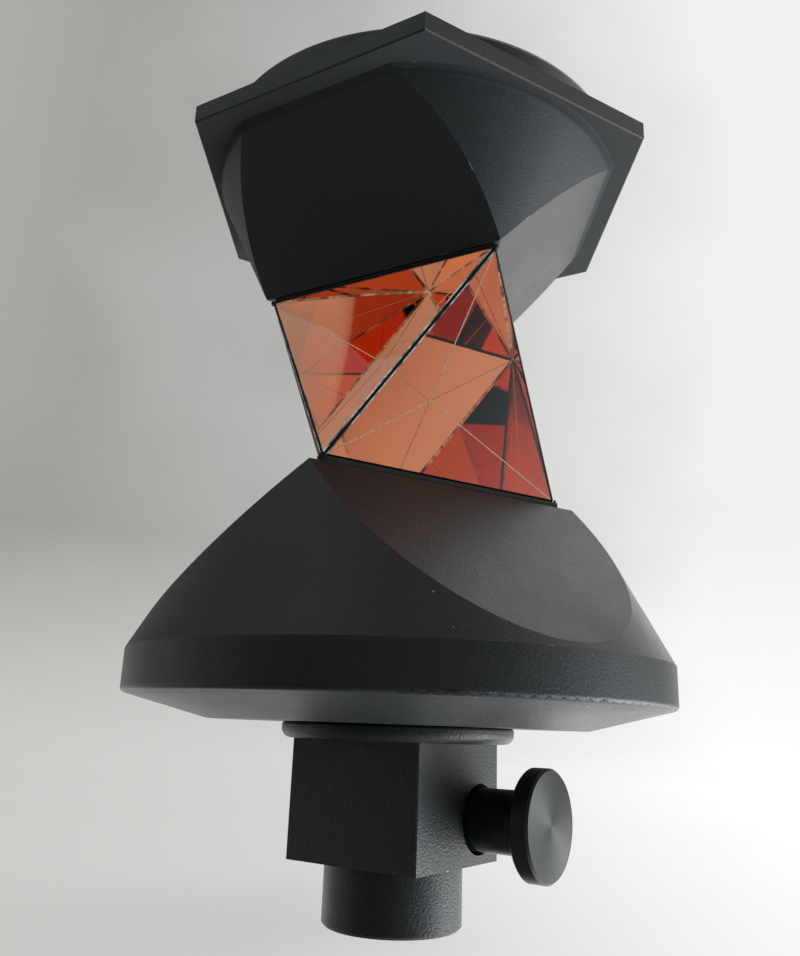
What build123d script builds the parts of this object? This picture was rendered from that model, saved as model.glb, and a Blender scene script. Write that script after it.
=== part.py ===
from build123d import *
import math
import os

os.makedirs("parts", exist_ok=True)

# 360 degree survey prism: six corner-cube prisms round a vertical axis, between two
# faceted black housings, over a square socket block that locks onto a 12 mm pole spigot.
# Row frame: +Z up, origin at the centre of the socket's seat face. Millimetres.

# ------------------------------------------------------------------ driving dimensions
ZC = 86.0            # optical centre above the seat face

# glass cluster: a regular octahedron standing on one face, cut into corner cubes
A_OCT = 32.0         # centre to octahedron vertex
GAP = 0.22           # half of the space between neighbouring prisms
CEMENT = 0.2         # half of the cement layer in that space
TIP = 0.45           # flat ground on each prism's tips
GLASS_BEVEL = 0.26   # depth of the bevel round the front face
EDGE_BEVEL = 0.09    # depth of the bevel on the three edges that meet at the prism's apex
Z_TRI = A_OCT / math.sqrt(3)          # height of the upper and lower triangle

# upper housing
UP_Z0, UP_R0 = 18.9, 27.2             # small end of the cone
UP_Z1, UP_R1 = 40.2, 37.5             # cone meets the hexagonal plate
UP_D, UP_M = 13.6, 1.0                # facet: distance at UP_Z0, slope
HEX_R, HEX_T = 44.1, 3.5              # plate across corners / 2, thickness
TOP_R = 37.4                          # round top cover
TOP_SIDE = 3.6                        # height of its straight side
TOP_FLAT_R, TOP_BEVEL_H = 25.0, 3.5

# lower housing
LO_Z0, LO_R0 = 19.6, 29.1
LO_Z1, LO_R1 = 46.9, 43.8
LO_D, LO_M = 14.6, 1.085
COVER_EDGE = 53.2                     # where side and underside bevel would meet
RIM_SEAT = 51.0                       # shoulder the bottom cover sits on
COVER_OUTER_R = 41.6                  # seam between rim and bottom cover
COVER_R, COVER_BOTTOM = 30.5, 56.65

# socket body
FLANGE_R, FLANGE_BOTTOM = 18.7, 59.1
SEAL_R = 13.2                         # O-ring in the flange's top face
BLOCK_HALF, BLOCK_BOTTOM = 11.9, 76.9
BLOCK_AZ = 55.0                       # facing of the side that holds the button
STUB_R = 10.75
BORE_R, BORE_TOP = 6.05, 60.6         # guide bore for the pole's spigot
RELIEF_R, RELIEF_FROM = 6.3, 12.8     # wider bore above the guide
SPIGOT_R, SPIGOT_TOP = 8.9, 41.0

# release button
BTN_U, BTN_Z = 6.1, -70.35            # offset across the block, height from the centre
BTN_HOLE_R, BTN_HOLE_D = 5.25, 4.5
BTN_NECK_R, BTN_HEAD_R = 4.7, 8.15
BTN_HEAD_T, BTN_FACE = 3.1, 24.0
BTN_TRAVEL = 3.0
ROD_R, ROD_HOLE_R = 2.25, 2.32
CLIP_FLOOR = -7.0
GUIDE_N = -1.0                        # guide screw: place along the plunger
GUIDE_R, GUIDE_STEP = 1.25, 9.2
GUIDE_DOG_R, GUIDE_TIP = 0.6, 7.6
SPRING_R, SPRING_WIRE = 2.9, 0.28


# ------------------------------------------------------------------ directions and planes
def outward(azimuth):
    """Horizontal unit vector; azimuth 0 is -Y and 90 is +X."""
    a = math.radians(azimuth)
    return Vector(math.sin(a), -math.cos(a), 0)


def at(z):
    """Height above the optical centre to height in the row frame."""
    return ZC + z


CENTRE = Vector(0, 0, ZC)
R_TRI = A_OCT * math.sqrt(2 / 3)
E1, E2, E3 = ((outward(a) * R_TRI + Vector(0, 0, Z_TRI)).normalized() for a in (-90, 30, 150))
OCT = Plane(origin=CENTRE, x_dir=E1, z_dir=E3)

BTN_N = outward(BLOCK_AZ)
BTN_T = Vector(math.cos(math.radians(BLOCK_AZ)), math.sin(math.radians(BLOCK_AZ)), 0)
BTN_ORIGIN = BTN_T * BTN_U + Vector(0, 0, at(BTN_Z))


def button_plane(distance):
    """Plane across the button's axis, facing out, at a distance from the socket's axis."""
    return Plane(origin=BTN_ORIGIN + BTN_N * distance, x_dir=BTN_T, z_dir=BTN_N)


def guide_plane(distance):
    """Plane across the guide screw's axis, facing out of the block's side."""
    return Plane(origin=BTN_T * distance + BTN_N * GUIDE_N + Vector(0, 0, at(BTN_Z)), x_dir=BTN_N, z_dir=BTN_T)


def outline(points):
    """Closed line through (x, y) points; a point with a third number has its corner rounded to that radius."""
    start = []
    finish = []
    for i, point in enumerate(points):
        here = Vector(point[0], point[1])
        before = (Vector(*points[i - 1][:2]) - here).normalized()
        after = (Vector(*points[(i + 1) % len(points)][:2]) - here).normalized()
        radius = point[2] if len(point) > 2 else 0
        if radius:
            half = math.acos(max(-1, min(1, before.dot(after)))) / 2
            run = radius / math.tan(half)
            arc_from, arc_to = here + before * run, here + after * run
            middle = (before + after).normalized()
            peak = here + middle * (radius / math.sin(half) - radius)
            ThreePointArc(arc_from, peak, arc_to)
            start.append(arc_from)
            finish.append(arc_to)
        else:
            start.append(here)
            finish.append(here)
    for i in range(len(points)):
        Line(finish[i - 1], start[i])


def cover_z(radius):
    """Depth of the underside bevel below the centre, at a radius."""
    return COVER_EDGE + (COVER_BOTTOM - COVER_EDGE) * (LO_R1 - radius) / (LO_R1 - COVER_R)


def save(part, name):
    part.label = name
    export_step(part, f"parts/{name}.step")


# ------------------------------------------------------------------ corner-cube prisms
SIDE_OCTANTS = {
    "corner_prism_1": (1, 1, -1),
    "corner_prism_2": (-1, 1, -1),
    "corner_prism_3": (-1, 1, 1),
    "corner_prism_4": (-1, -1, 1),
    "corner_prism_5": (1, -1, 1),
    "corner_prism_6": (1, -1, -1),
}
cube = A_OCT - TIP - GAP
for prism_name, sign in SIDE_OCTANTS.items():
    normal = (E1 * sign[0] + E2 * sign[1] + E3 * sign[2]).normalized()
    middle = Location(tuple(s * (GAP + cube / 2) for s in sign))
    with BuildPart() as prism:
        with Locations(OCT.location * middle):
            Box(cube, cube, cube)
        split(bisect_by=Plane(origin=CENTRE + normal * Z_TRI, z_dir=normal), keep=Keep.BOTTOM)
        for i, axis in enumerate((E1, E2, E3)):
            j = (i + 1) % 3
            on_edge = axis * (sign[i] * GAP) + (E1, E2, E3)[j] * (sign[j] * (A_OCT - GAP))
            bisector = (normal - axis * sign[i]).normalized()
            split(
                bisect_by=Plane(origin=CENTRE + on_edge - bisector * GLASS_BEVEL, z_dir=bisector),
                keep=Keep.BOTTOM,
            )
            inner_edge = axis * (sign[i] * GAP) + (E1, E2, E3)[j] * (sign[j] * GAP)
            inward = (axis * sign[i] + (E1, E2, E3)[j] * sign[j]).normalized()
            split(
                bisect_by=Plane(origin=CENTRE + inner_edge + inward * EDGE_BEVEL, z_dir=inward),
                keep=Keep.TOP,
            )
    save(prism.part, prism_name)

# ------------------------------------------------------------------ prism cores
# The two octants over and under the glass are aluminium pyramids with a threaded stud.
with BuildPart() as upper_core:
    with Locations(OCT.location * Location((GAP + cube / 2,) * 3)):
        Box(cube, cube, cube)
    split(bisect_by=Plane(origin=(0, 0, at(Z_TRI)), z_dir=(0, 0, 1)), keep=Keep.BOTTOM)
    with BuildSketch(Plane.XY.offset(at(Z_TRI))):
        Circle(4.0)
    extrude(amount=36.0 - Z_TRI)
    chamfer(upper_core.faces().sort_by(Axis.Z)[-1].edges(), length=0.6)
    with BuildSketch(Plane.XY.offset(at(36.0))):
        Circle(2.5)
    extrude(amount=-9.0, mode=Mode.SUBTRACT)
save(upper_core.part, "upper_core")

with BuildPart() as lower_core:
    with Locations(OCT.location * Location((-(GAP + cube / 2),) * 3)):
        Box(cube, cube, cube)
    split(bisect_by=Plane(origin=(0, 0, at(-Z_TRI)), z_dir=(0, 0, -1)), keep=Keep.BOTTOM)
    with BuildSketch(Plane.XY.offset(at(-Z_TRI))):
        Circle(4.0)
    extrude(amount=-(37.0 - Z_TRI))
    chamfer(lower_core.faces().sort_by(Axis.Z)[0].edges(), length=0.6)
save(lower_core.part, "lower_core")

# ------------------------------------------------------------------ cement between prisms
# Twelve triangular layers: one per quadrant of each of the three cutting planes.
leaf = A_OCT - TIP - GAP
with BuildPart() as bond_layers:
    for thin in range(3):
        for su in (1, -1):
            for sv in (1, -1):
                wide = [i for i in range(3) if i != thin]
                centre = [0.0, 0.0, 0.0]
                size = [leaf, leaf, leaf]
                size[thin] = 2 * CEMENT
                centre[wide[0]] = su * (GAP + leaf / 2)
                centre[wide[1]] = sv * (GAP + leaf / 2)
                axes = (E1, E2, E3)
                slope = (axes[wide[0]] * su + axes[wide[1]] * sv).normalized()
                with BuildPart(mode=Mode.PRIVATE) as layer:
                    with Locations(OCT.location * Location(tuple(centre))):
                        Box(*size)
                    split(
                        bisect_by=Plane(origin=CENTRE + slope * ((A_OCT - 0.3) / math.sqrt(2)), z_dir=slope),
                        keep=Keep.BOTTOM,
                    )
                add(layer.part)
save(bond_layers.part, "bond_layers")

# ------------------------------------------------------------------ sealant on the six corners
with BuildPart() as corner_sealant:
    for axis in (E1, E2, E3):
        for way in (1, -1):
            out = axis * way
            seat = CENTRE + out * (A_OCT - TIP + 0.02)
            with BuildPart(mode=Mode.PRIVATE) as dab:
                with Locations(Location(tuple(seat))):
                    Sphere(0.6)
                split(bisect_by=Plane(origin=seat, z_dir=out), keep=Keep.TOP)
                split(
                    bisect_by=Plane(origin=(0, 0, at(way * (Z_TRI - 0.02))), z_dir=(0, 0, way)),
                    keep=Keep.BOTTOM,
                )
            add(dab.part)
save(corner_sealant.part, "corner_sealant")

# ------------------------------------------------------------------ gaskets on the glass
for gasket_name, z_low, thick, apothem, edge_r in (
    ("upper_gasket", at(Z_TRI), UP_Z0 - Z_TRI, 13.25, 0.9),
    ("lower_gasket", at(-LO_Z0), LO_Z0 - Z_TRI, 13.75, 0.9),
):
    turn = 180 if gasket_name == "upper_gasket" else 0
    corners = [math.radians(turn + 120 * k) for k in range(3)]
    with BuildPart() as gasket:
        with BuildSketch(Plane.XY.offset(z_low)):
            with BuildLine():
                outline([(2 * apothem * math.cos(a), 2 * apothem * math.sin(a), edge_r) for a in corners])
            make_face()
            Circle(4.3, mode=Mode.SUBTRACT)
        extrude(amount=thick)
    save(gasket.part, gasket_name)

# ------------------------------------------------------------------ upper housing
with BuildPart() as upper_housing:
    with BuildSketch(Plane.XZ):
        with BuildLine():
            Polyline(
                (0, at(UP_Z0)), (UP_R0, at(UP_Z0)), (UP_R1 - 0.25, at(UP_Z1 - 0.55)),
                (UP_R1 + 0.3, at(UP_Z1)), (0, at(UP_Z1)), close=True,
            )
        make_face()
    revolve(axis=Axis.Z)
    for azimuth in (-30, 90, 210):
        n = outward(azimuth)
        split(
            bisect_by=Plane(origin=n * UP_D + Vector(0, 0, at(UP_Z0)), z_dir=(n.X, n.Y, -UP_M)),
            keep=Keep.BOTTOM,
        )
    with BuildSketch(Plane.XY.offset(at(UP_Z1))):
        RegularPolygon(radius=HEX_R, side_count=6, rotation=30)
    extrude(amount=HEX_T)
    plate_edges = upper_housing.edges().filter_by(GeomType.LINE).filter_by(
        lambda e: e.length > 40 and math.hypot(e.center().X, e.center().Y) > 36
    )
    chamfer(plate_edges, length=0.25)
    with BuildSketch(Plane.XZ):
        with BuildLine():
            Polyline(
                (0, at(25.0)), (14.0, at(25.0)), (29.5, at(40.5)), (29.5, at(UP_Z1 + HEX_T)),
                (0, at(UP_Z1 + HEX_T)), close=True,
            )
        make_face()
    revolve(axis=Axis.Z, mode=Mode.SUBTRACT)
    with BuildSketch(Plane.XY.offset(at(UP_Z0))):
        Circle(4.2)
    extrude(amount=8.0, mode=Mode.SUBTRACT)
save(upper_housing.part, "upper_housing")

# ------------------------------------------------------------------ top cover, screw, seal
z_plate = UP_Z1 + HEX_T
z_flat = z_plate + TOP_SIDE + TOP_BEVEL_H
with BuildPart() as top_cover:
    with BuildSketch(Plane.XZ):
        with BuildLine():
            outline([
                (0, at(36.0)), (6.0, at(36.0)), (6.0, at(z_flat - 3.4)), (25.8, at(z_flat - 3.4)),
                (25.8, at(z_plate - 2.0)), (29.3, at(z_plate - 2.0)), (29.3, at(z_plate)),
                (TOP_R, at(z_plate)), (TOP_R, at(z_plate + TOP_SIDE), 1.1),
                (TOP_FLAT_R, at(z_flat), 2.5), (0, at(z_flat)),
            ])
        make_face()
    revolve(axis=Axis.Z)
    with BuildSketch(Plane.XZ):
        with Locations((33.4, at(z_plate) + 0.5)):
            Rectangle(2.2, 1.4)
    revolve(axis=Axis.Z, mode=Mode.SUBTRACT)
    with BuildSketch(Plane.XZ):
        with BuildLine():
            Polyline(
                (0, at(35.0)), (2.75, at(35.0)), (2.75, at(z_flat - 2.9)), (5.25, at(z_flat - 0.4)),
                (5.25, at(z_flat + 1)), (0, at(z_flat + 1)), close=True,
            )
        make_face()
    revolve(axis=Axis.Z, mode=Mode.SUBTRACT)
save(top_cover.part, "top_cover")

with BuildPart() as top_cover_screw:
    with BuildSketch(Plane.XZ):
        with BuildLine():
            Polyline(
                (0, at(29.0)), (2.1, at(29.0)), (2.45, at(29.4)), (2.45, at(z_flat - 2.75)),
                (5.0, at(z_flat - 0.2)), (5.0, at(z_flat - 0.05)), (0, at(z_flat - 0.05)), close=True,
            )
        make_face()
    revolve(axis=Axis.Z)
    with BuildSketch(Plane.XY.offset(at(z_flat - 0.05))):
        RegularPolygon(radius=1.8, side_count=6)
    extrude(amount=-2.0, mode=Mode.SUBTRACT)
save(top_cover_screw.part, "top_cover_screw")

with BuildPart() as top_seal_ring:
    with BuildSketch(Plane.XZ):
        with Locations((33.4, at(z_plate) + 0.6)):
            Circle(0.58)
    revolve(axis=Axis.Z)
save(top_seal_ring.part, "top_seal_ring")

# ------------------------------------------------------------------ lower housing
with BuildPart() as lower_housing:
    with BuildSketch(Plane.XZ):
        with BuildLine():
            Polyline((0, at(-LO_Z0)), (LO_R0, at(-LO_Z0)), (LO_R1, at(-LO_Z1)), (0, at(-LO_Z1)), close=True)
        make_face()
    revolve(axis=Axis.Z)
    for azimuth in (30, 150, 270):
        n = outward(azimuth)
        split(
            bisect_by=Plane(origin=n * LO_D + Vector(0, 0, at(-LO_Z0)), z_dir=(n.X, n.Y, LO_M)),
            keep=Keep.BOTTOM,
        )
    with BuildSketch(Plane.XY.offset(at(-LO_Z1))):
        Circle(LO_R1)
    extrude(amount=-(RIM_SEAT - LO_Z1))
    with BuildSketch(Plane.XZ):
        with BuildLine():
            outline([
                (LO_R1, at(-RIM_SEAT)), (LO_R1, at(-COVER_EDGE), 0.8),
                (COVER_OUTER_R, at(-cover_z(COVER_OUTER_R))), (COVER_OUTER_R, at(-RIM_SEAT)),
            ])
        make_face()
    revolve(axis=Axis.Z)
    with BuildSketch(Plane.XZ):
        with BuildLine():
            Polyline(
                (14.5, at(-27.0)), (15.5, at(-27.0)), (36.0, at(-46.5)), (38.5, at(-48.5)),
                (38.5, at(-RIM_SEAT)), (14.5, at(-RIM_SEAT)), close=True,
            )
        make_face()
    revolve(axis=Axis.Z, mode=Mode.SUBTRACT)
    with BuildSketch(Plane.XZ):
        with BuildLine():
            Polyline(
                (0, at(-LO_Z0)), (4.2, at(-LO_Z0)), (4.2, at(-27.0)), (9.0, at(-27.0)),
                (9.0, at(-RIM_SEAT)), (0, at(-RIM_SEAT)), close=True,
            )
        make_face()
    revolve(axis=Axis.Z, mode=Mode.SUBTRACT)
save(lower_housing.part, "lower_housing")

# ------------------------------------------------------------------ bottom cover and its seal
with BuildPart() as bottom_cover:
    edge_r = COVER_OUTER_R - 0.03
    with BuildSketch(Plane.XZ):
        with BuildLine():
            outline([
                (9.2, at(-RIM_SEAT - 0.05)), (16.0, at(-RIM_SEAT - 0.05)), (16.0, at(-RIM_SEAT - 1.7)),
                (34.8, at(-RIM_SEAT - 1.7)), (34.8, at(-RIM_SEAT + 2.0)), (38.3, at(-RIM_SEAT + 2.0)),
                (38.3, at(-RIM_SEAT - 0.05)), (edge_r, at(-RIM_SEAT - 0.05)), (edge_r, at(-cover_z(edge_r))),
                (COVER_R, at(-COVER_BOTTOM), 3.0), (9.2, at(-COVER_BOTTOM)),
            ])
        make_face()
    revolve(axis=Axis.Z)
    with BuildSketch(Plane.XZ):
        with Locations((39.9, at(-RIM_SEAT) - 0.4)):
            Rectangle(1.6, 0.8)
    revolve(axis=Axis.Z, mode=Mode.SUBTRACT)
save(bottom_cover.part, "bottom_cover")

with BuildPart() as bottom_seal_ring:
    with BuildSketch(Plane.XZ):
        with Locations((39.9, at(-RIM_SEAT) - 0.39)):
            Circle(0.36)
    revolve(axis=Axis.Z)
save(bottom_seal_ring.part, "bottom_seal_ring")

# ------------------------------------------------------------------ core washers and nuts
for hardware, z_low, thick in (("upper_core_washer", 25.0, 1.2), ("lower_core_washer", -28.2, 1.2)):
    with BuildPart() as washer:
        with BuildSketch(Plane.XY.offset(at(z_low))):
            Circle(8.0)
            Circle(4.2, mode=Mode.SUBTRACT)
        extrude(amount=thick)
    save(washer.part, hardware)

for hardware, z_low in (("upper_core_nut", 26.2), ("lower_core_nut", -34.7)):
    with BuildPart() as nut:
        with BuildSketch(Plane.XY.offset(at(z_low))):
            RegularPolygon(radius=7.5, side_count=6)
            Circle(4.06, mode=Mode.SUBTRACT)
        extrude(amount=6.5)
        with BuildSketch(Plane.XZ):
            with BuildLine():
                Polyline((7.0, at(z_low + 6.5)), (7.8, at(z_low + 6.5)), (7.8, at(z_low + 6.0)), close=True)
            make_face()
        revolve(axis=Axis.Z, mode=Mode.SUBTRACT)
        with BuildSketch(Plane.XZ):
            with BuildLine():
                Polyline((7.0, at(z_low)), (7.8, at(z_low)), (7.8, at(z_low + 0.5)), close=True)
            make_face()
        revolve(axis=Axis.Z, mode=Mode.SUBTRACT)
    save(nut.part, hardware)

# ------------------------------------------------------------------ socket body
z_flange_top = COVER_BOTTOM + 0.02
with BuildPart() as socket_body:
    with BuildSketch(Plane.XZ):
        with BuildLine():
            outline([
                (0, at(-SPIGOT_TOP)), (SPIGOT_R - 0.8, at(-SPIGOT_TOP)), (SPIGOT_R, at(-SPIGOT_TOP - 0.8)),
                (SPIGOT_R, at(-z_flange_top)), (FLANGE_R, at(-z_flange_top), 0.5),
                (FLANGE_R, at(-FLANGE_BOTTOM), 1.5), (0, at(-FLANGE_BOTTOM)),
            ])
        make_face()
    revolve(axis=Axis.Z)
    with BuildSketch(Plane(origin=(0, 0, at(-FLANGE_BOTTOM)), x_dir=BTN_T, z_dir=(0, 0, 1))):
        Rectangle(2 * BLOCK_HALF, 2 * BLOCK_HALF)
    extrude(amount=-(BLOCK_BOTTOM - FLANGE_BOTTOM))
    upright = socket_body.edges().filter_by(Axis.Z).filter_by(
        lambda e: abs(math.hypot(e.center().X, e.center().Y) - BLOCK_HALF * math.sqrt(2)) < 0.05
    )
    chamfer(upright, length=0.2)
    with BuildSketch(Plane.XZ):
        with Locations((SEAL_R, at(-z_flange_top) - 0.4)):
            Rectangle(1.4, 0.8)
    revolve(axis=Axis.Z, mode=Mode.SUBTRACT)
    with BuildSketch(Plane.XY.offset(at(-BLOCK_BOTTOM))):
        Circle(STUB_R)
    extrude(amount=-(ZC - BLOCK_BOTTOM))
    with BuildSketch(Plane.XY):
        Circle(BORE_R)
    extrude(amount=ZC - BORE_TOP, mode=Mode.SUBTRACT)
    with BuildSketch(Plane.XY.offset(RELIEF_FROM)):
        Circle(RELIEF_R)
    extrude(amount=ZC - BORE_TOP - RELIEF_FROM, mode=Mode.SUBTRACT)
    chamfer(socket_body.edges().filter_by(GeomType.CIRCLE).group_by(Axis.Z)[0], length=0.4)
    with BuildSketch(button_plane(BLOCK_HALF)):
        Circle(BTN_HOLE_R)
    extrude(amount=-BTN_HOLE_D, mode=Mode.SUBTRACT)
    with BuildSketch(button_plane(BLOCK_HALF)):
        Circle(ROD_HOLE_R)
    extrude(amount=-2 * BLOCK_HALF, mode=Mode.SUBTRACT)
    with BuildSketch(button_plane(-BLOCK_HALF)):
        Circle(4.0)
    extrude(amount=BLOCK_HALF + CLIP_FLOOR, mode=Mode.SUBTRACT)
    with BuildSketch(guide_plane(BLOCK_HALF)):
        Circle(GUIDE_R)
    extrude(amount=-(BLOCK_HALF - GUIDE_STEP), mode=Mode.SUBTRACT)
    with BuildSketch(guide_plane(BLOCK_HALF)):
        Circle(GUIDE_DOG_R + 0.1)
    extrude(amount=-(BLOCK_HALF - BTN_U), mode=Mode.SUBTRACT)
save(socket_body.part, "socket_body")

with BuildPart() as guide_screw:
    with BuildSketch(guide_plane(GUIDE_STEP + 0.05)):
        Circle(GUIDE_R - 0.02)
    extrude(amount=2.6)
    chamfer(guide_screw.edges().filter_by(GeomType.CIRCLE), length=0.2)
    with BuildSketch(guide_plane(GUIDE_STEP + 0.05)):
        Circle(GUIDE_DOG_R)
    extrude(amount=-(GUIDE_STEP + 0.05 - GUIDE_TIP))
    with BuildSketch(guide_plane(GUIDE_STEP + 2.65)):
        RegularPolygon(radius=0.75, side_count=6)
    extrude(amount=-1.3, mode=Mode.SUBTRACT)
save(guide_screw.part, "guide_screw")

with BuildPart() as flange_seal:
    with BuildSketch(Plane.XZ):
        with Locations((SEAL_R, at(-z_flange_top) - 0.38)):
            Circle(0.36)
    revolve(axis=Axis.Z)
save(flange_seal.part, "flange_seal")

# ------------------------------------------------------------------ release button
neck_end = BLOCK_HALF - 1.0
head_back = BTN_FACE - BTN_HEAD_T
with BuildPart() as release_button:
    with BuildSketch(button_plane(head_back)):
        Circle(BTN_HEAD_R)
    extrude(amount=BTN_HEAD_T)
    chamfer(
        release_button.edges().filter_by(GeomType.CIRCLE).filter_by(lambda e: e.radius > BTN_HEAD_R - 0.1),
        length=0.35,
    )
    with BuildSketch(button_plane(neck_end)):
        Circle(BTN_NECK_R)
    extrude(amount=head_back - neck_end)
    with BuildSketch(button_plane(neck_end)):
        Circle(3.5)
    extrude(amount=17.6 - neck_end, mode=Mode.SUBTRACT)
    with BuildSketch(button_plane(17.0)):
        Circle(2.05)
    extrude(amount=4.0, mode=Mode.SUBTRACT)
save(release_button.part, "release_button")

with BuildPart() as lock_plunger:
    with BuildSketch(button_plane(CLIP_FLOOR - 1.9)):
        Circle(ROD_R)
    extrude(amount=17.6 - (CLIP_FLOOR - 1.9))
    chamfer(lock_plunger.edges().filter_by(GeomType.CIRCLE), length=0.3)
    with BuildSketch(button_plane(17.4)):
        Circle(2.0)
    extrude(amount=3.4)
    with BuildSketch(button_plane(CLIP_FLOOR - 0.85)):
        Circle(ROD_R + 0.5)
        Circle(1.7, mode=Mode.SUBTRACT)
    extrude(amount=0.85, mode=Mode.SUBTRACT)
    notch_axis = BTN_N * BTN_TRAVEL
    with BuildSketch(Plane(origin=(notch_axis.X, notch_axis.Y, at(BTN_Z) - 5), z_dir=(0, 0, 1))):
        Circle(BORE_R + 0.15)
    extrude(amount=10, mode=Mode.SUBTRACT)
    with BuildSketch(guide_plane(GUIDE_TIP - 0.1)) as slot:
        with Locations((BTN_TRAVEL / 2, 0)):
            Rectangle(BTN_TRAVEL + 2 * GUIDE_DOG_R + 0.2, 2 * GUIDE_DOG_R + 0.12)
    extrude(amount=3, mode=Mode.SUBTRACT)
save(lock_plunger.part, "lock_plunger")

with BuildPart() as plunger_clip:
    with BuildSketch(button_plane(CLIP_FLOOR - 0.8)):
        Circle(3.5)
        Circle(1.75, mode=Mode.SUBTRACT)
        with Locations((0, 2.5)):
            Rectangle(2.6, 5.0, mode=Mode.SUBTRACT)
    extrude(amount=0.75)
save(plunger_clip.part, "plunger_clip")

spring_from = BLOCK_HALF - BTN_HOLE_D + SPRING_WIRE + 0.03
spring_to = 17.6 - SPRING_WIRE - 0.03
with BuildPart() as button_spring:
    with BuildLine():
        coil = Helix(
            pitch=(spring_to - spring_from) / 6.0,
            height=spring_to - spring_from,
            radius=SPRING_R,
            center=tuple(button_plane(spring_from).origin),
            direction=tuple(BTN_N),
        )
    with BuildSketch(Plane(origin=coil @ 0, z_dir=coil % 0)):
        Circle(SPRING_WIRE)
    sweep(path=coil, is_frenet=True)
save(button_spring.part, "button_spring")
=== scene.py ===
import math
import random

import bpy
import bmesh
import numpy as np
from mathutils import Matrix, Vector


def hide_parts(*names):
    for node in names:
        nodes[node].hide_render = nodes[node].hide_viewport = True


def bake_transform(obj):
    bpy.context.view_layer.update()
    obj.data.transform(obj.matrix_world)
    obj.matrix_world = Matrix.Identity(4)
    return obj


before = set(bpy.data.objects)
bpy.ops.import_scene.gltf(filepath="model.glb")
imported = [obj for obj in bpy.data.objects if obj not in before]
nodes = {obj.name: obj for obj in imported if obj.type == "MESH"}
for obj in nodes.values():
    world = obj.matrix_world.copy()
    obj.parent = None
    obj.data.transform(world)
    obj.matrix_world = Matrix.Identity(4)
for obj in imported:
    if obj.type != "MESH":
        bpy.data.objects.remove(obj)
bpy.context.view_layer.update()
ZC = 0.086  # optical centre above the seat face


# ------------------------------------------------------------------ node helpers
class Mat:
    """A node material with a Principled shader, built up with short calls."""

    def __init__(self, name):
        self.mat = bpy.data.materials.new(name)
        self.mat.use_nodes = True
        self.tree = self.mat.node_tree
        self.tree.nodes.clear()
        self.out = self.new("ShaderNodeOutputMaterial")
        self.bsdf = self.new("ShaderNodeBsdfPrincipled")
        self.link(self.bsdf.outputs[0], self.out.inputs["Surface"])
        self.coord = self.new("ShaderNodeTexCoord").outputs["Object"]

    def new(self, kind, **settings):
        n = self.tree.nodes.new(kind)
        for k, v in settings.items():
            setattr(n, k, v)
        return n

    def link(self, a, b):
        self.tree.links.new(a, b)

    def set(self, **values):
        names = {
            "base": "Base Color", "metal": "Metallic", "rough": "Roughness", "ior": "IOR",
            "spec": "Specular IOR Level", "coat": "Coat Weight", "coat_rough": "Coat Roughness",
            "trans": "Transmission Weight", "aniso": "Anisotropic", "sheen": "Sheen Weight",
            "sheen_rough": "Sheen Roughness", "normal": "Normal", "tint": "Specular Tint", "tangent": "Tangent",
        }
        for k, v in values.items():
            s = self.bsdf.inputs[names[k]]
            if isinstance(v, bpy.types.NodeSocket):
                self.link(v, s)
            elif isinstance(v, (tuple, list)) and len(v) == 3:
                s.default_value = (*v, 1.0)
            else:
                s.default_value = v
        return self

    def mapped(self, scale=(1, 1, 1), rotation=(0, 0, 0), location=(0, 0, 0), coord=None):
        m = self.new("ShaderNodeMapping")
        m.inputs["Scale"].default_value = scale
        m.inputs["Rotation"].default_value = rotation
        m.inputs["Location"].default_value = location
        self.link(coord or self.coord, m.inputs["Vector"])
        return m.outputs[0]

    def noise(self, scale, detail=2.0, rough=0.5, coord=None, distortion=0.0):
        n = self.new("ShaderNodeTexNoise")
        n.inputs["Scale"].default_value = scale
        n.inputs["Detail"].default_value = detail
        n.inputs["Roughness"].default_value = rough
        n.inputs["Distortion"].default_value = distortion
        self.link(coord or self.coord, n.inputs["Vector"])
        return n.outputs["Fac"]

    def voronoi(self, scale, coord=None, feature="F1", out="Distance", randomness=1.0):
        n = self.new("ShaderNodeTexVoronoi", feature=feature)
        n.inputs["Scale"].default_value = scale
        n.inputs["Randomness"].default_value = randomness
        self.link(coord or self.coord, n.inputs["Vector"])
        return n.outputs[out]

    def ramp(self, value, stops):
        n = self.new("ShaderNodeValToRGB")
        e = n.color_ramp.elements
        while len(e) < len(stops):
            e.new(0.5)
        for el, (p, c) in zip(e, stops):
            el.position = p
            el.color = (*c, 1.0) if isinstance(c, (tuple, list)) else (c, c, c, 1.0)
        self.link(value, n.inputs[0])
        return n.outputs[0]

    def range(self, value, a, b, c, d, clamp=True):
        n = self.new("ShaderNodeMapRange", clamp=clamp)
        for i, v in enumerate((a, b, c, d)):
            n.inputs[i + 1].default_value = v
        self.link(value, n.inputs[0])
        return n.outputs[0]

    def math(self, op, a, b=0.0):
        n = self.new("ShaderNodeMath", operation=op)
        for i, v in enumerate((a, b)):
            if isinstance(v, bpy.types.NodeSocket):
                self.link(v, n.inputs[i])
            else:
                n.inputs[i].default_value = v
        return n.outputs[0]

    def mix(self, fac, a, b, blend="MIX"):
        n = self.new("ShaderNodeMix", data_type="RGBA", blend_type=blend)
        for s, v in ((n.inputs[0], fac), (n.inputs[6], a), (n.inputs[7], b)):
            if isinstance(v, bpy.types.NodeSocket):
                self.link(v, s)
            elif isinstance(v, (tuple, list)):
                s.default_value = (*v, 1.0)
            else:
                s.default_value = v
        return n.outputs[2]

    def bump(self, height, strength, distance, normal=None):
        n = self.new("ShaderNodeBump")
        n.inputs["Strength"].default_value = strength
        n.inputs["Distance"].default_value = distance
        self.link(height, n.inputs["Height"])
        if normal is not None:
            self.link(normal, n.inputs["Normal"])
        return n.outputs[0]

    def attribute(self, name):
        n = self.new("ShaderNodeAttribute", attribute_name=name)
        return n.outputs["Fac"]


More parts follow.
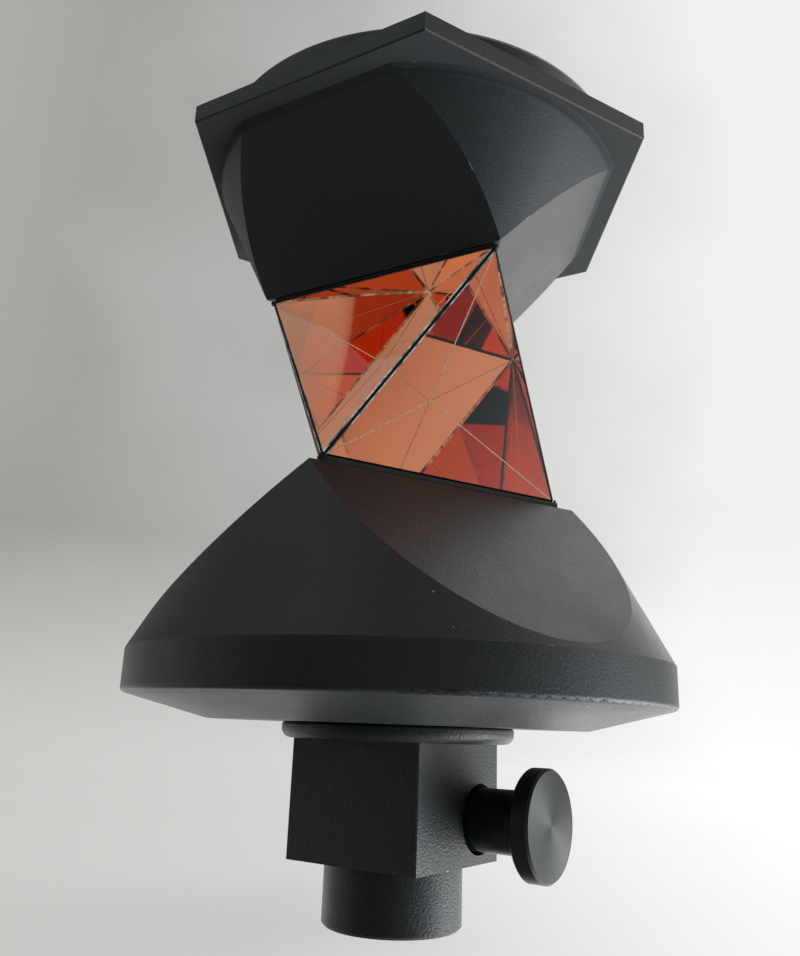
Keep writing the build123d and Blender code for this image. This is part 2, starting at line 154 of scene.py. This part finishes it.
def anodised(name, base=(0.016, 0.019, 0.020), rough=(0.40, 0.50), grain=1.0, specks=1.0, root=False):
    """Bead-blasted, black anodised aluminium: fine sparkle, faint mottling, dust specks, hairlines, worn edges."""
    m = Mat(name)
    fine = m.noise(4200, 2.0, 0.7)
    sparkle = m.voronoi(2600, out="Distance")
    coarse = m.noise(55, 4.0, 0.6)
    cloud = m.noise(17, 2.0, 0.5)
    col = m.mix(m.range(fine, 0.3, 0.7, 0.0, 1.0), tuple(c * 0.50 for c in base), tuple(c * 1.6 for c in base))
    col = m.mix(m.range(cloud, 0.35, 0.7, 0.0, 0.3), col, tuple(c * 1.4 for c in base))
    # dust: sparse tiny pale dots, thicker in places
    def dots(scale, keep, size, amount):
        cell = m.voronoi(scale)
        pick = m.voronoi(scale, out="Color")
        sep = m.new("ShaderNodeSeparateColor")
        m.link(pick, sep.inputs[0])
        few = m.range(sep.outputs[0], keep, keep + 0.004, 0.0, 1.0)
        return m.math("MULTIPLY", m.math("MULTIPLY", m.range(cell, size * 0.6, size, 1.0, 0.0), few), amount * specks)
    gather = m.range(m.noise(26, 2.0, 0.6), 0.5, 0.68, 0.15, 1.0)
    dust = m.math("MULTIPLY", dots(700, 0.965, 0.12, 0.55), gather)
    dust = m.math("MAXIMUM", dust, dots(300, 0.985, 0.06, 0.7))
    col = m.mix(dust, col, (0.45, 0.45, 0.43))
    # rubs where it was handled: faint greyer clouds with torn edges
    rub = m.math("MULTIPLY", m.range(m.noise(34, 5.0, 0.75), 0.60, 0.74, 0.0, 0.35), m.range(fine, 0.4, 0.65, 0.0, 1.0))
    col = m.mix(rub, col, (0.075, 0.08, 0.08))
    # hairline scratches, short and rare
    line = m.new("ShaderNodeTexWave", wave_type="BANDS", bands_direction="X")
    line.inputs["Scale"].default_value = 9.0
    line.inputs["Distortion"].default_value = 3.0
    line.inputs["Detail"].default_value = 1.0
    line.inputs["Detail Scale"].default_value = 0.6
    m.link(m.mapped((1, 1, 1), (0.5, 0.9, 0.3)), line.inputs["Vector"])
    thin = m.range(line.outputs["Fac"], 0.9990, 0.9999, 0.0, 1.0)
    where = m.range(m.noise(60, 1.0), 0.66, 0.70, 0.0, 1.0)
    scratch = m.math("MULTIPLY", thin, where)
    col = m.mix(m.math("MULTIPLY", scratch, 0.3), col, (0.20, 0.21, 0.21))
    # bare metal along the sharp edges, nicked rather than continuous
    geo = m.new("ShaderNodeNewGeometry")
    edge = m.new("ShaderNodeBevel", samples=4)
    edge.inputs["Radius"].default_value = 0.00028
    turn = m.new("ShaderNodeVectorMath", operation="DOT_PRODUCT")
    m.link(edge.outputs[0], turn.inputs[0])
    m.link(geo.outputs["Normal"], turn.inputs[1])
    at_edge = m.range(turn.outputs["Value"], 0.93, 0.985, 1.0, 0.0)
    nick = m.range(m.noise(420, 4.0, 0.75), 0.60, 0.66, 0.0, 1.0)
    zone = m.range(m.noise(32, 1.0, 0.5), 0.5, 0.6, 0.12, 1.0)
    bare = m.math("MULTIPLY", m.math("MULTIPLY", at_edge, nick), zone)
    col = m.mix(bare, col, (0.50, 0.51, 0.52))
    r = m.range(coarse, 0.3, 0.7, *rough)
    r = m.math("ADD", r, m.range(fine, 0.3, 0.7, -0.06, 0.06))
    if root:
        # the blasting never quite reaches the inside corner under the plate
        place = m.new("ShaderNodeSeparateXYZ")
        m.link(m.coord, place.inputs[0])
        corner = m.math("MULTIPLY", m.range(place.outputs[2], ZC + 0.0386, ZC + 0.0393, 0.0, 1.0), m.range(place.outputs[2], ZC + 0.0401, ZC + 0.0404, 1.0, 0.0))
        r = m.math("ADD", r, m.math("MULTIPLY", corner, 0.45))
    n = m.bump(fine, 0.50 * grain, 0.00006)
    n = m.bump(sparkle, 0.28 * grain, 0.00007, n)
    n = m.bump(coarse, 0.06, 0.0003, n)
    m.set(base=col, metal=m.math("MULTIPLY", bare, 0.85), rough=r, normal=n, spec=0.5)
    return m.mat


def rubber(name, base=(0.012, 0.012, 0.012)):
    m = Mat(name)
    f = m.noise(2600, 3.0, 0.6)
    c = m.noise(300, 3.0, 0.6)
    col = m.mix(m.range(c, 0.35, 0.65, 0.0, 1.0), base, tuple(b * 2.2 for b in base))
    m.set(base=col, rough=m.range(f, 0.3, 0.7, 0.5, 0.72), spec=0.35, normal=m.bump(c, 0.5, 0.0002))
    return m.mat


def steel(name, base=(0.56, 0.56, 0.57), rough=(0.22, 0.34), turn=(1, 1, 60)):
    m = Mat(name)
    streak = m.noise(300, 3.0, 0.6, coord=m.mapped(turn))
    tone = m.noise(90, 3.0, 0.6)
    col = m.mix(m.range(tone, 0.3, 0.7, 0.0, 1.0), tuple(b * 0.86 for b in base), base)
    m.set(base=col, metal=1.0, rough=m.range(streak, 0.3, 0.7, *rough), normal=m.bump(streak, 0.15, 0.00005))
    return m.mat


# ------------------------------------------------------------------ materials
m_upper = anodised("anodised_upper", rough=(0.40, 0.50), root=True)
m_lower = anodised("anodised_lower", rough=(0.40, 0.50))
m_cover = anodised("anodised_cover", rough=(0.38, 0.48))
m_socket = anodised("anodised_socket", rough=(0.42, 0.52), grain=1.8)


def turned(name, centre, axis, base=(0.016, 0.019, 0.020)):
    """Black anodised over a turned surface: fine rings round an axis."""
    m = Mat(name)
    a = Vector(axis).normalized()
    rot = a.to_track_quat("Z", "Y").to_matrix().transposed().to_4x4()
    local = rot @ Matrix.Translation(-Vector(centre))
    e = local.to_euler()
    t = local.to_translation()
    p = m.mapped((1, 1, 1), tuple(e), tuple(t))
    sep = m.new("ShaderNodeSeparateXYZ")
    m.link(p, sep.inputs[0])
    flat = m.new("ShaderNodeCombineXYZ")
    m.link(sep.outputs[0], flat.inputs[0])
    m.link(sep.outputs[1], flat.inputs[1])
    length = m.new("ShaderNodeVectorMath", operation="LENGTH")
    m.link(flat.outputs[0], length.inputs[0])
    radius = length.outputs["Value"]
    ring_at = m.new("ShaderNodeCombineXYZ")
    m.link(radius, ring_at.inputs[0])
    rings = m.noise(5200, 2.0, 0.6, coord=ring_at.outputs[0])
    fine = m.noise(5200, 3.0, 0.7)
    col = m.mix(m.range(rings, 0.3, 0.7, 0.0, 1.0), tuple(c * 0.8 for c in base), tuple(c * 1.3 for c in base))
    tan = m.new("ShaderNodeTangent", direction_type="RADIAL", axis="Z")
    m.set(base=col, rough=m.range(rings, 0.3, 0.7, 0.28, 0.36), spec=0.45, aniso=0.75,
          normal=m.bump(fine, 0.12, 0.00005, m.bump(rings, 0.35, 0.00006)))
    # tangent from the ring direction: axis cross position
    geo = m.new("ShaderNodeVectorMath", operation="SUBTRACT")
    m.link(m.coord, geo.inputs[0])
    geo.inputs[1].default_value = tuple(centre)
    cross = m.new("ShaderNodeVectorMath", operation="CROSS_PRODUCT")
    cross.inputs[0].default_value = tuple(a)
    m.link(geo.outputs[0], cross.inputs[1])
    norm = m.new("ShaderNodeVectorMath", operation="NORMALIZE")
    m.link(cross.outputs[0], norm.inputs[0])
    m.tree.nodes.remove(tan)
    m.set(tangent=norm.outputs[0])
    return m.mat


AZ = math.radians(55)
BTN_N = Vector((math.sin(AZ), -math.cos(AZ), 0))
BTN_T = Vector((math.cos(AZ), math.sin(AZ), 0))
BTN_C = BTN_T * 0.0061 + Vector((0, 0, ZC - 0.07035))
m_button = turned("anodised_button", BTN_C + BTN_N * 0.02, BTN_N)

m_rubber = rubber("black_rubber")
m_seal = rubber("black_sealant", (0.006, 0.006, 0.006))
m_cement = rubber("black_cement", (0.004, 0.004, 0.004))
m_steel = steel("turned_steel")
m_black_steel = steel("black_oxide_steel", (0.045, 0.046, 0.05), (0.3, 0.42))
m_spring = steel("spring_wire", (0.5, 0.5, 0.52), (0.2, 0.3), (60, 60, 1))
m_core = steel("machined_aluminium", (0.7, 0.7, 0.72), (0.3, 0.42))

# ------------------------------------------------------------------ glass
COPPER = (0.90, 0.555, 0.40)


def glass_front():
    m = Mat("prism_glass_polished")
    smear = m.noise(120, 3.0, 0.6)
    cell = m.voronoi(520)
    sep = m.new("ShaderNodeSeparateColor")
    m.link(m.voronoi(520, out="Color"), sep.inputs[0])
    speck = m.math("MULTIPLY", m.range(cell, 0.05, 0.09, 0.8, 0.0), m.range(sep.outputs[0], 0.985, 0.988, 0.0, 1.0))
    m.set(base=(1.0, 0.98, 0.97), rough=m.range(smear, 0.55, 0.80, 0.0, 0.004), trans=m.math("SUBTRACT", 1.0, speck), ior=1.52)
    return m.mat


def glass_mirror():
    m = Mat("prism_mirror_coating")
    tone = m.noise(60, 3.0, 0.6)
    col = m.mix(m.range(tone, 0.3, 0.7, 0.0, 1.0), tuple(c * 0.96 for c in COPPER), COPPER)
    m.set(base=col, metal=1.0, rough=0.015)
    return m.mat


def glass_ground():
    m = Mat("prism_ground_bevel_painted_glow")
    chip = m.noise(900, 4.0, 0.7)
    broad = m.noise(240, 2.0, 0.6)
    tone = m.math("MULTIPLY", m.range(chip, 0.40, 0.58, 0.25, 1.0), m.range(broad, 0.36, 0.52, 0.2, 1.0))
    col = m.mix(tone, (0.06, 0.07, 0.07), (0.66, 0.70, 0.68))
    m.set(base=col, rough=m.range(chip, 0.3, 0.7, 0.3, 0.5), spec=0.7, normal=m.bump(chip, 0.8, 0.0002))
    # painted light: the ground bevels and chips glow by emission, standing in for light piped out through the glass
    # edges
    m.link(m.mix(tone, (0.0, 0.0, 0.0), (0.42, 0.44, 0.42)), m.bsdf.inputs["Emission Color"])
    m.bsdf.inputs["Emission Strength"].default_value = 0.9
    return m.mat


def glass_black():
    """Edge of the glass blacked off where it meets the housing."""
    m = Mat("prism_blacked_edge")
    chip = m.noise(900, 4.0, 0.7)
    col = m.mix(m.range(chip, 0.60, 0.72, 0.0, 1.0), (0.008, 0.008, 0.008), (0.12, 0.12, 0.12))
    m.set(base=col, rough=m.range(chip, 0.3, 0.7, 0.35, 0.55), normal=m.bump(chip, 0.5, 0.0002))
    return m.mat


def glass_edge():
    m = Mat("prism_inner_edge")
    f = m.noise(1500, 3.0, 0.6)
    col = m.mix(m.range(f, 0.3, 0.7, 0.0, 1.0), (1.0, 0.74, 0.56), (1.0, 0.84, 0.70))
    m.set(base=col, metal=0.0, rough=0.5)
    return m.mat


m_front, m_mirror, m_ground, m_inner, m_blacked = glass_front(), glass_mirror(), glass_ground(), glass_edge(), glass_black()

A_OCT = 0.0319
Z_TRI = A_OCT / math.sqrt(3)
R_TRI = A_OCT * math.sqrt(2 / 3)


def outward(deg):
    a = math.radians(deg)
    return Vector((math.sin(a), -math.cos(a), 0))


E = [(outward(a) * R_TRI + Vector((0, 0, Z_TRI))).normalized() for a in (-90, 30, 150)]
SIGNS = {
    "corner_prism_1": (1, 1, -1), "corner_prism_2": (-1, 1, -1), "corner_prism_3": (-1, 1, 1),
    "corner_prism_4": (-1, -1, 1), "corner_prism_5": (1, -1, 1), "corner_prism_6": (1, -1, -1),
}


def dress(name, materials, choose=None):
    if name not in nodes:
        return None
    o = nodes[name]
    o.data.materials.clear()
    for m in materials:
        o.data.materials.append(m)
    if choose:
        for p in o.data.polygons:
            p.material_index = choose(p)
    return o


for name, s in SIGNS.items():
    front = (E[0] * s[0] + E[1] * s[1] + E[2] * s[2]).normalized()

    def choose(p, front=front, s=s):
        n = p.normal
        if n.dot(front) > 0.999:
            return 0
        comps = [n.dot(E[i]) * s[i] for i in range(3)]
        if max(comps) > 0.999:
            return 2          # ground tip
        if min(comps) < -0.999:
            return 1          # coated back face
        if n.dot(front) <= 0:
            return 3          # inner edge between two coated faces
        low = min(range(3), key=lambda i: comps[i])
        t = [v if i != low else -v for i, v in enumerate(s)]
        return 4 if abs(sum(t)) == 3 else 2    # beside a housing, or beside another prism

    dress(name, [m_front, m_mirror, m_ground, m_inner, m_blacked], choose)

dress("bond_layers", [m_cement])
dress("corner_sealant", [m_seal])
for n in ("upper_gasket", "lower_gasket", "top_seal_ring", "bottom_seal_ring", "flange_seal"):
    dress(n, [m_rubber])
dress("upper_housing", [m_upper])
dress("lower_housing", [m_lower])
dress("top_cover", [m_cover])
dress("bottom_cover", [m_cover])
dress("socket_body", [m_socket])
dress("release_button", [m_button])
for n in ("upper_core", "lower_core"):
    dress(n, [m_core])
for n in ("upper_core_washer", "lower_core_washer", "upper_core_nut", "lower_core_nut", "lock_plunger"):
    dress(n, [m_steel])
for n in ("top_cover_screw", "guide_screw"):
    dress(n, [m_black_steel])
for n in ("button_spring", "plunger_clip"):
    dress(n, [m_spring])

for name, o in nodes.items():
    if name in SIGNS or name in ("bond_layers", "upper_core", "lower_core"):
        continue
    o.data.shade_smooth()
    o.data.set_sharp_from_angle(angle=math.radians(13))

# the return spring is copied into an object of its own and the CAD node is hidden; on the real object it shortens as
# the button goes in, its deep end staying with the socket and its outer end with the button
spring = bpy.data.objects.new("return_spring", nodes["button_spring"].data.copy())
bpy.context.scene.collection.objects.link(spring)
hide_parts("button_spring")
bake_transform(spring)

# ------------------------------------------------------------------ stage
def sweep_floor():
    """Pale floor that rises into a round backdrop far behind every view; it glows with painted light, darker on the
    left and brighter on the right.
    """
    profile = [(0.0, 0.0), (0.3, 0.0), (0.6, 0.0), (0.9, 0.0)]
    for i in range(1, 13):
        a = math.radians(90 * i / 12)
        profile.append((0.9 + 0.6 * math.sin(a), 0.6 * (1 - math.cos(a))))
    profile += [(1.5, 1.0), (1.5, 2.4)]
    bm = bmesh.new()
    rings = []
    seg = 96
    for r, z in profile[1:]:
        rings.append([bm.verts.new((r * math.cos(2 * math.pi * k / seg), r * math.sin(2 * math.pi * k / seg), z)) for k in range(seg)])
    c = bm.verts.new((0, 0, 0))
    for k in range(seg):
        bm.faces.new((c, rings[0][k], rings[0][(k + 1) % seg]))
    for a, b in zip(rings, rings[1:]):
        for k in range(seg):
            bm.faces.new((a[k], b[k], b[(k + 1) % seg], a[(k + 1) % seg]))
    me = bpy.data.meshes.new("floor")
    bm.to_mesh(me)
    bm.free()
    me.shade_smooth()
    o = bpy.data.objects.new("floor", me)
    bpy.context.scene.collection.objects.link(o)
    m = Mat("floor_paper_painted_light")
    grain = m.noise(900, 3.0, 0.6)
    cloud = m.noise(2.5, 3.0, 0.5)
    sep = m.new("ShaderNodeSeparateXYZ")
    m.link(m.coord, sep.inputs[0])
    away = m.new("ShaderNodeVectorMath", operation="LENGTH")
    flat = m.new("ShaderNodeCombineXYZ")
    m.link(sep.outputs[0], flat.inputs[0])
    m.link(sep.outputs[1], flat.inputs[1])
    m.link(flat.outputs[0], away.inputs[0])
    across = m.math("DIVIDE", sep.outputs[0], m.math("ADD", m.math("MULTIPLY", away.outputs["Value"], 0.75), 0.12))
    side = m.range(m.math("ADD", across, m.range(cloud, 0.3, 0.7, -0.07, 0.07)), -0.55, 0.5, 0.0, 1.0)
    # painted light: the floor and backdrop glow darker on the left and brighter on the right, and brighter on the floor
    # than up the wall, standing in for light falling from the right and shade on the left side
    wall = m.ramp(side, [(0.0, (0.245, 0.238, 0.218)), (0.40, (0.40, 0.405, 0.39)), (1.0, (0.82, 0.83, 0.82))])
    ground = m.ramp(side, [(0.0, (0.47, 0.475, 0.455)), (0.40, (0.55, 0.555, 0.54)), (1.0, (0.90, 0.90, 0.90))])
    glow = m.mix(m.range(sep.outputs[2], 0.0, 0.35, 0.0, 1.0), ground, wall)
    m.set(base=m.mix(m.range(grain, 0.3, 0.7, 0, 1), (0.20, 0.20, 0.198), (0.22, 0.22, 0.217)), rough=0.9, spec=0.15)
    m.link(glow, m.bsdf.inputs["Emission Color"])
    m.bsdf.inputs["Emission Strength"].default_value = 1.0
    me.materials.append(m.mat)
    o.visible_glossy = False
    o.visible_diffuse = False
    o.visible_transmission = False
    o.visible_shadow = False
    return o


floor = sweep_floor()
floor.location.z = -0.0002

# ------------------------------------------------------------------ light
world = bpy.data.worlds.new("world")
bpy.context.scene.world = world
world.use_nodes = True
wt = world.node_tree
bg = wt.nodes["Background"]
direction = wt.nodes.new("ShaderNodeTexCoord").outputs["Generated"]


def wmath(op, a, b=0.0):
    n = wt.nodes.new("ShaderNodeMath")
    n.operation = op
    for i, v in enumerate((a, b)):
        if isinstance(v, bpy.types.NodeSocket):
            wt.links.new(v, n.inputs[i])
        else:
            n.inputs[i].default_value = v
    return n.outputs[0]


def lobe(centre, amount, power, colour=(1, 1, 1)):
    """A soft glow of the room round one direction."""
    d = wt.nodes.new("ShaderNodeVectorMath")
    d.operation = "DOT_PRODUCT"
    wt.links.new(direction, d.inputs[0])
    d.inputs[1].default_value = Vector(centre).normalized()
    v = wmath("MULTIPLY", wmath("POWER", wmath("MAXIMUM", d.outputs["Value"], 0.0), power), amount)
    c = wt.nodes.new("ShaderNodeVectorMath")
    c.operation = "SCALE"
    c.inputs[0].default_value = colour
    wt.links.new(v, c.inputs["Scale"])
    return c.outputs[0]


def total(parts):
    out = parts[0]
    for p in parts[1:]:
        n = wt.nodes.new("ShaderNodeVectorMath")
        n.operation = "ADD"
        wt.links.new(out, n.inputs[0])
        wt.links.new(p, n.inputs[1])
        out = n.outputs[0]
    return out


room = total([
    lobe((0.000, -0.643, -0.766), 0.213, 8.0, (0.000, 0.614, 1.000)),
    lobe((0.643, -0.000, -0.766), 1.034, 8.0, (0.918, 0.920, 1.000)),
    lobe((-0.643, -0.000, -0.766), 0.242, 8.0, (1.000, 0.768, 0.543)),
    lobe((0.000, -1.000, 0.000), 0.308, 8.0, (1.000, 0.804, 0.709)),
    lobe((0.707, -0.707, 0.000), 0.121, 8.0, (0.414, 1.000, 0.916)),
    lobe((-0.707, 0.707, 0.000), 0.413, 8.0, (1.000, 1.000, 0.966)),
    lobe((-1.000, -0.000, 0.000), 0.284, 8.0, (0.887, 0.953, 1.000)),
    lobe((0.612, -0.354, 0.707), 0.185, 8.0, (1.000, 0.186, 0.101)),
    lobe((0.612, 0.354, 0.707), 1.736, 8.0, (0.954, 0.999, 1.000)),
    lobe((-0.612, 0.354, 0.707), 0.107, 8.0, (1.000, 0.642, 0.618)),
    lobe((-0.612, -0.354, 0.707), 0.614, 8.0, (0.883, 1.000, 0.998)),
    lobe((0.000, -0.087, 0.996), 0.419, 8.0, (0.856, 1.000, 0.861)),
    lobe((0.505, 0.808, -0.303), 2.744, 30.0, (1.000, 0.979, 0.981)),
    lobe((0.000, 0.933, -0.361), 1.262, 30.0, (0.954, 0.988, 1.000)),
    lobe((-0.505, 0.808, -0.303), 1.766, 30.0, (0.986, 0.983, 1.000)),
    lobe((0.852, 0.150, -0.501), 15.224, 20.0, (0.954, 0.985, 1.000)),
    lobe((0.505, 0.808, 0.303), 1.866, 30.0, (1.000, 0.965, 0.958)),
    lobe((-0.948, 0.249, -0.200), 0.850, 40.0, (0.816, 0.907, 1.000)),
    lobe((0.249, 0.746, -0.617), 1.158, 20.0, (0.992, 0.999, 1.000)),
    lobe((0.974, -0.201, -0.100), 1.680, 30.0, (0.802, 0.899, 1.000)),
])

# soft, broad light that the prisms gather through their front faces
def wrange(value, a, b, c=0.0, d=1.0):
    n = wt.nodes.new("ShaderNodeMapRange")
    n.interpolation_type = "SMOOTHSTEP"
    for i, v in enumerate((a, b, c, d)):
        n.inputs[i + 1].default_value = v
    wt.links.new(value, n.inputs[0])
    return n.outputs[0]


def wmix(fac, a, b):
    n = wt.nodes.new("ShaderNodeMix")
    n.data_type = "RGBA"
    for s, v in ((n.inputs[0], fac), (n.inputs[6], a), (n.inputs[7], b)):
        if isinstance(v, bpy.types.NodeSocket):
            wt.links.new(v, s)
        elif isinstance(v, tuple):
            s.default_value = (*v, 1.0)
        else:
            s.default_value = v
    return n.outputs[2]


def wnoise(scale, detail=2.0, shift=(0, 0, 0)):
    m = wt.nodes.new("ShaderNodeMapping")
    m.inputs["Location"].default_value = shift
    wt.links.new(direction, m.inputs["Vector"])
    n = wt.nodes.new("ShaderNodeTexNoise")
    n.inputs["Scale"].default_value = scale
    n.inputs["Detail"].default_value = detail
    wt.links.new(m.outputs[0], n.inputs["Vector"])
    return n.outputs["Fac"]


seen = wmix(wrange(wnoise(1.6, 1.0, (0.3, 0.1, 0.7)), 0.30, 0.70), (1.0, 1.04, 0.95), (0.72, 0.98, 1.10))
seen = wmix(wrange(wnoise(2.2, 1.0, (1.7, 0.4, 0.2)), 0.46, 0.74, 0.0, 0.7), seen, (0.34, 0.26, 0.26))
path = wt.nodes.new("ShaderNodeLightPath")
wt.links.new(wmix(path.outputs["Is Transmission Ray"], room, seen), bg.inputs[0])
bg.inputs[1].default_value = 1.0



def area(name, at, target, size, power, colour=(1, 1, 1), size_y=None):
    light = bpy.data.lights.new(name, "AREA")
    light.energy = power
    light.color = colour
    light.shape = "RECTANGLE"
    light.size = size
    light.size_y = size_y or size
    o = bpy.data.objects.new(name, light)
    o.location = at
    o.rotation_euler = (Vector(target) - Vector(at)).to_track_quat("-Z", "Y").to_euler()
    bpy.context.scene.collection.objects.link(o)
    return o


area("key", (0.9, 0.05, 0.55), (0, 0, 0.07), 0.45, 0.4, (0.97, 0.99, 1.0))

bpy.context.scene.view_settings.view_transform = "Standard"
bpy.context.scene.cycles.glossy_bounces = 14     # the prisms fold light many times
bpy.context.scene.cycles.transmission_bounces = 14
bpy.context.scene.cycles.max_bounces = 20

# ------------------------------------------------------------------ camera
cam = bpy.data.cameras.new("camera")
cam.sensor_fit = "AUTO"
cam.sensor_width = 36.0  # the long side, which is the picture's height
cam.lens = 855.857 * 36.0 / 956
cam.clip_start = 0.005
cam.clip_end = 20
co = bpy.data.objects.new("camera", cam)
bpy.context.scene.collection.objects.link(co)
RM = np.array([[0.99775326, -0.05728856, 0.0347341], [0.04939842, 0.27885685, -0.95906134], [0.0452574, 0.95862238, 0.2810603]])
a0 = math.radians(-2.548715693790885)
RZ = np.array([[math.cos(a0), -math.sin(a0), 0], [math.sin(a0), math.cos(a0), 0], [0, 0, 1]])
RC = RM @ RZ
where = RZ.T @ np.array([-7.9569, -144.6682, -57.2392]) / 1000 + np.array([0, 0, ZC])
co.matrix_world = Matrix((
    (RC[0][0], -RC[1][0], -RC[2][0], where[0]),
    (RC[0][1], -RC[1][1], -RC[2][1], where[1]),
    (RC[0][2], -RC[1][2], -RC[2][2], where[2]),
    (0, 0, 0, 1),
))
bpy.context.scene.camera = co

bpy.context.view_layer.update()
